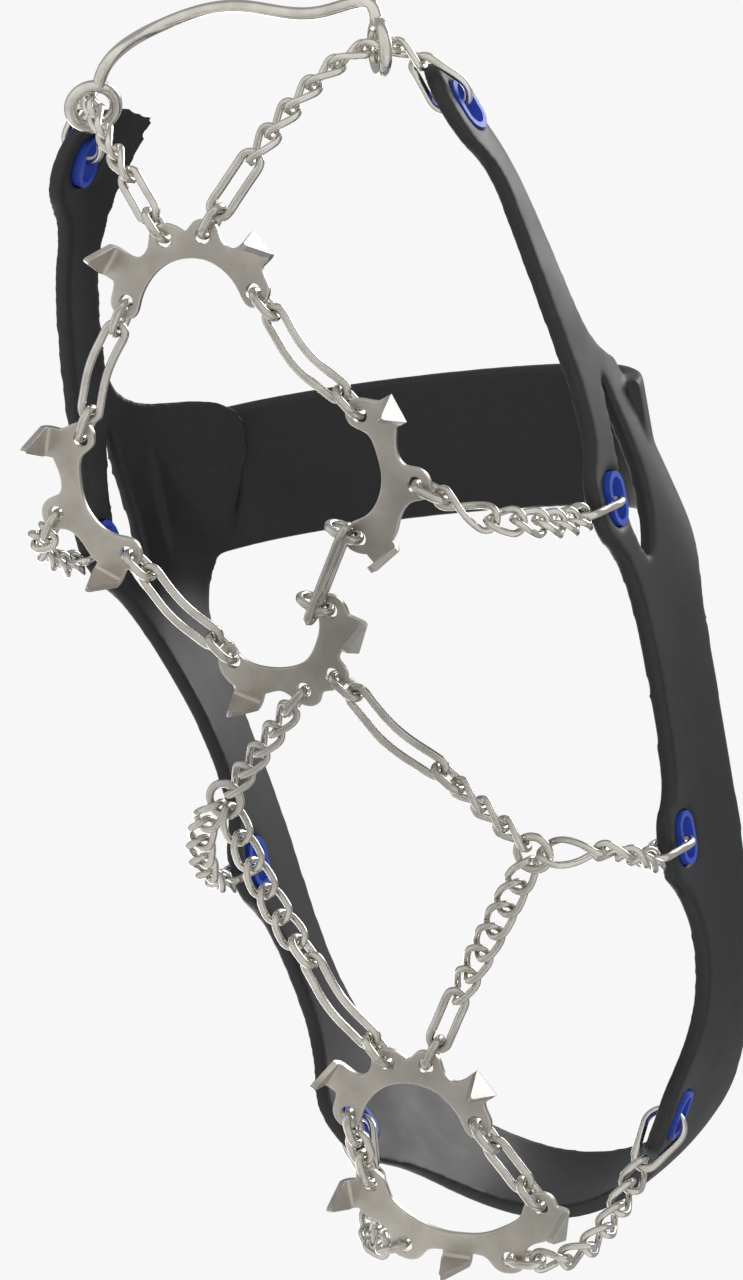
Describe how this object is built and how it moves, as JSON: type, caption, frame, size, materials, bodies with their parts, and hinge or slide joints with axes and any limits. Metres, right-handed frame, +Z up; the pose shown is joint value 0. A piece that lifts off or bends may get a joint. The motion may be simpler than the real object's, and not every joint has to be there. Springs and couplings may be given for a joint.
{
  "type": "shoe ice cleats",
  "caption": "Pull-on ice cleats for one shoe: stretch rubber harness with eyelet lugs, steel chain net and stamped spike plates under the sole, and a wire toe bail.",
  "frame": {"origin": "middle of the shoe's sole, on the plane the sole rests on, half way between heel and toe", "axes": "+Z up the foot, away from the ground; +Y towards the toe; +X towards the inner side of the foot"},
  "size_m": [0.149, 0.3136, 0.1108],
  "materials": {
    "nickel_plated_steel_wire": "gloss",
    "stainless_steel_sheet": "satin",
    "black_thermoplastic_elastomer": "satin",
    "blue_moulded_plastic": "satin"
  },
  "bodies": {
    "harness_and_chains": {"arch_chain_inner": "nickel_plated_steel_wire", "arch_chain_outer": "nickel_plated_steel_wire", "ball_chain_inner": "nickel_plated_steel_wire", "ball_chain_outer": "nickel_plated_steel_wire", "eyelet_inserts_inner": "blue_moulded_plastic", "eyelet_inserts_outer": "blue_moulded_plastic", "harness": "black_thermoplastic_elastomer", "heel_chain_inner": "nickel_plated_steel_wire", "heel_chain_outer": "nickel_plated_steel_wire", "junction_ring_inner": "nickel_plated_steel_wire", "junction_ring_outer": "nickel_plated_steel_wire", "link_heel_inner": "nickel_plated_steel_wire", "link_heel_outer": "nickel_plated_steel_wire", "loose_rings": "nickel_plated_steel_wire", "rear_chain_inner": "nickel_plated_steel_wire", "rear_chain_outer": "nickel_plated_steel_wire", "rings_front_plate": "nickel_plated_steel_wire", "rings_heel_plate": "nickel_plated_steel_wire", "rings_inner_plate": "nickel_plated_steel_wire", "rings_middle_plate": "nickel_plated_steel_wire", "rings_outer_plate": "nickel_plated_steel_wire", "rings_rear_plate": "nickel_plated_steel_wire", "side_chain_inner": "nickel_plated_steel_wire", "side_chain_outer": "nickel_plated_steel_wire", "toe_chain_inner": "nickel_plated_steel_wire", "toe_chain_outer": "nickel_plated_steel_wire", "twisted_link_arch": "nickel_plated_steel_wire", "twisted_link_ball": "nickel_plated_steel_wire"},
    "toe_bail": {"toe_bail": "nickel_plated_steel_wire"},
    "front_plate": {"spike_plate_front": "stainless_steel_sheet"},
    "heel_plate": {"spike_plate_heel": "stainless_steel_sheet"},
    "inner_plate": {"spike_plate_inner": "stainless_steel_sheet"},
    "outer_plate": {"spike_plate_outer": "stainless_steel_sheet"},
    "middle_plate": {"spike_plate_middle": "stainless_steel_sheet"},
    "rear_plate": {"spike_plate_rear": "stainless_steel_sheet"},
    "toe_link_inner": {"toe_link_inner": "nickel_plated_steel_wire"},
    "toe_link_outer": {"toe_link_outer": "nickel_plated_steel_wire"},
    "link_front_to_inner": {"link_front_to_inner": "nickel_plated_steel_wire"},
    "link_front_to_outer": {"link_front_to_outer": "nickel_plated_steel_wire"},
    "link_inner_to_middle": {"link_inner_to_middle": "nickel_plated_steel_wire"},
    "link_outer_to_middle": {"link_outer_to_middle": "nickel_plated_steel_wire"},
    "link_arch_outer": {"link_arch_outer": "nickel_plated_steel_wire"},
    "link_arch_to_heel_inner": {"link_arch_to_heel_inner": "nickel_plated_steel_wire"},
    "link_arch_to_heel_outer": {"link_arch_to_heel_outer": "nickel_plated_steel_wire"},
    "end_link_inner_arch": {"end_link_inner_arch": "nickel_plated_steel_wire"},
    "end_link_inner_ball": {"end_link_inner_ball": "nickel_plated_steel_wire"},
    "end_link_inner_heel": {"end_link_inner_heel": "nickel_plated_steel_wire"},
    "end_link_inner_toe": {"end_link_inner_toe": "nickel_plated_steel_wire"},
    "end_link_outer_arch": {"end_link_outer_arch": "nickel_plated_steel_wire"},
    "end_link_outer_ball": {"end_link_outer_ball": "nickel_plated_steel_wire"},
    "end_link_outer_heel": {"end_link_outer_heel": "nickel_plated_steel_wire"},
    "end_link_outer_toe": {"end_link_outer_toe": "nickel_plated_steel_wire"}
  },
  "joints": [
    {"name": "toe_bail_swing", "type": "hinge", "parent": "harness_and_chains", "child": "toe_bail", "pos_m": [0.00256, 0.1365, 0.02079], "axis": [0.9944, -0.0483, -0.094], "range_deg": [-4, 6]},
    {"name": "front_plate_rock", "type": "hinge", "parent": "harness_and_chains", "child": "front_plate", "pos_m": [0.01268, 0.09079, -0.00256], "axis": [-0.9997, -0.0259, -0.0041], "range_deg": [-1.5, 1.5]},
    {"name": "heel_plate_rock", "type": "hinge", "parent": "harness_and_chains", "child": "heel_plate", "pos_m": [-0.00389, -0.11036, -0.004], "axis": [-0.9945, -0.1045, 0], "range_deg": [-1.5, 1.5]},
    {"name": "inner_plate_rock", "type": "hinge", "parent": "harness_and_chains", "child": "inner_plate", "pos_m": [0.0441, 0.0468, -0.004], "axis": [-0.2067, -0.9784, 0], "range_deg": [-1, 1.5]},
    {"name": "outer_plate_rock", "type": "hinge", "parent": "harness_and_chains", "child": "outer_plate", "pos_m": [-0.0218, 0.0455, -0.004], "axis": [0.2067, -0.9784, 0], "range_deg": [-1.5, 0.1]},
    {"name": "middle_plate_rock", "type": "hinge", "parent": "harness_and_chains", "child": "middle_plate", "pos_m": [0.0054, 0.01, -0.004], "axis": [-0.9386, 0.3451, 0], "range_deg": [-0.4, 1.5]},
    {"name": "rear_plate_rock", "type": "hinge", "parent": "harness_and_chains", "child": "rear_plate", "pos_m": [-0.01134, -0.13017, -0.004], "axis": [-0.9877, -0.1564, 0], "range_deg": [-1.2, 1.5]},
    {"name": "toe_link_inner_swivel", "type": "hinge", "parent": "harness_and_chains", "child": "toe_link_inner", "pos_m": [0.02328, 0.1147, 0.00248], "axis": [0.5076, 0.7902, 0.3435], "range_deg": [-4, 4]},
    {"name": "toe_link_outer_swivel", "type": "hinge", "parent": "harness_and_chains", "child": "toe_link_outer", "pos_m": [-0.00143, 0.11429, 0.00266], "axis": [-0.6246, 0.7125, 0.3199], "range_deg": [-4, 4]},
    {"name": "link_front_to_inner_swivel", "type": "hinge", "parent": "harness_and_chains", "child": "link_front_to_inner", "pos_m": [0.03845, 0.07636, -0.00369], "axis": [-0.5103, 0.8595, 0.028], "range_deg": [-4, 4]},
    {"name": "link_front_to_outer_swivel", "type": "hinge", "parent": "harness_and_chains", "child": "link_front_to_outer", "pos_m": [-0.01375, 0.07472, -0.00374], "axis": [0.5646, 0.8251, 0.0215], "range_deg": [-4, 4]},
    {"name": "link_inner_to_middle_swivel", "type": "hinge", "parent": "harness_and_chains", "child": "link_inner_to_middle", "pos_m": [0.0304, 0.01852, -0.004], "axis": [0.625, 0.7806, 0], "range_deg": [-4, 4]},
    {"name": "link_outer_to_middle_swivel", "type": "hinge", "parent": "harness_and_chains", "child": "link_outer_to_middle", "pos_m": [-0.01149, 0.02446, -0.0085], "axis": [-0.5452, 0.8383, 0], "range_deg": [-2, 2]},
    {"name": "link_arch_outer_swivel", "type": "hinge", "parent": "harness_and_chains", "child": "link_arch_outer", "pos_m": [-0.01854, -0.01569, -0.004], "axis": [0.6732, 0.7394, 0], "range_deg": [-4, 4]},
    {"name": "link_arch_to_heel_inner_swivel", "type": "hinge", "parent": "harness_and_chains", "child": "link_arch_to_heel_inner", "pos_m": [0.00921, -0.08049, -0.004], "axis": [0.4932, 0.8699, 0], "range_deg": [-4, 4]},
    {"name": "link_arch_to_heel_outer_swivel", "type": "hinge", "parent": "harness_and_chains", "child": "link_arch_to_heel_outer", "pos_m": [-0.01784, -0.08616, -0.004], "axis": [-0.5467, 0.8373, 0], "range_deg": [-4, 4]},
    {"name": "end_link_inner_arch_swivel", "type": "hinge", "parent": "harness_and_chains", "child": "end_link_inner_arch", "pos_m": [0.04573, -0.05709, 0.0261], "axis": [0.0299, -0.0016, 0.9996], "range_deg": [-3, 3]},
    {"name": "end_link_inner_ball_swivel", "type": "hinge", "parent": "harness_and_chains", "child": "end_link_inner_ball", "pos_m": [0.06872, 0.02576, 0.0261], "axis": [0.0297, -0.0042, 0.9996], "range_deg": [-3, 3]},
    {"name": "end_link_inner_heel_swivel", "type": "hinge", "parent": "harness_and_chains", "child": "end_link_inner_heel", "pos_m": [0.02789, -0.13158, 0.02928], "axis": [0.4343, 0.6318, 0.6421], "range_deg": [-3, 3]},
    {"name": "end_link_inner_toe_swivel", "type": "hinge", "parent": "harness_and_chains", "child": "end_link_inner_toe", "pos_m": [0.04972, 0.12811, 0.03179], "axis": [-0.4577, 0.8128, -0.3604], "range_deg": [-3, 3]},
    {"name": "end_link_outer_arch_swivel", "type": "hinge", "parent": "harness_and_chains", "child": "end_link_outer_arch", "pos_m": [-0.06723, -0.057, 0.0261], "axis": [-0.03, 0, 0.9996], "range_deg": [-3, 3]},
    {"name": "end_link_outer_ball_swivel", "type": "hinge", "parent": "harness_and_chains", "child": "end_link_outer_ball", "pos_m": [-0.06473, 0.02606, 0.0261], "axis": [-0.03, 0.001, 0.9996], "range_deg": [-3, 3]},
    {"name": "end_link_outer_heel_swivel", "type": "hinge", "parent": "harness_and_chains", "child": "end_link_outer_heel", "pos_m": [-0.04995, -0.1316, 0.02928], "axis": [-0.4288, 0.6355, 0.6421], "range_deg": [-3, 3]},
    {"name": "end_link_outer_toe_swivel", "type": "hinge", "parent": "harness_and_chains", "child": "end_link_outer_toe", "pos_m": [-0.04229, 0.12825, 0.03179], "axis": [0.3999, 0.8427, -0.3604], "range_deg": [-3, 3]}
  ]
}
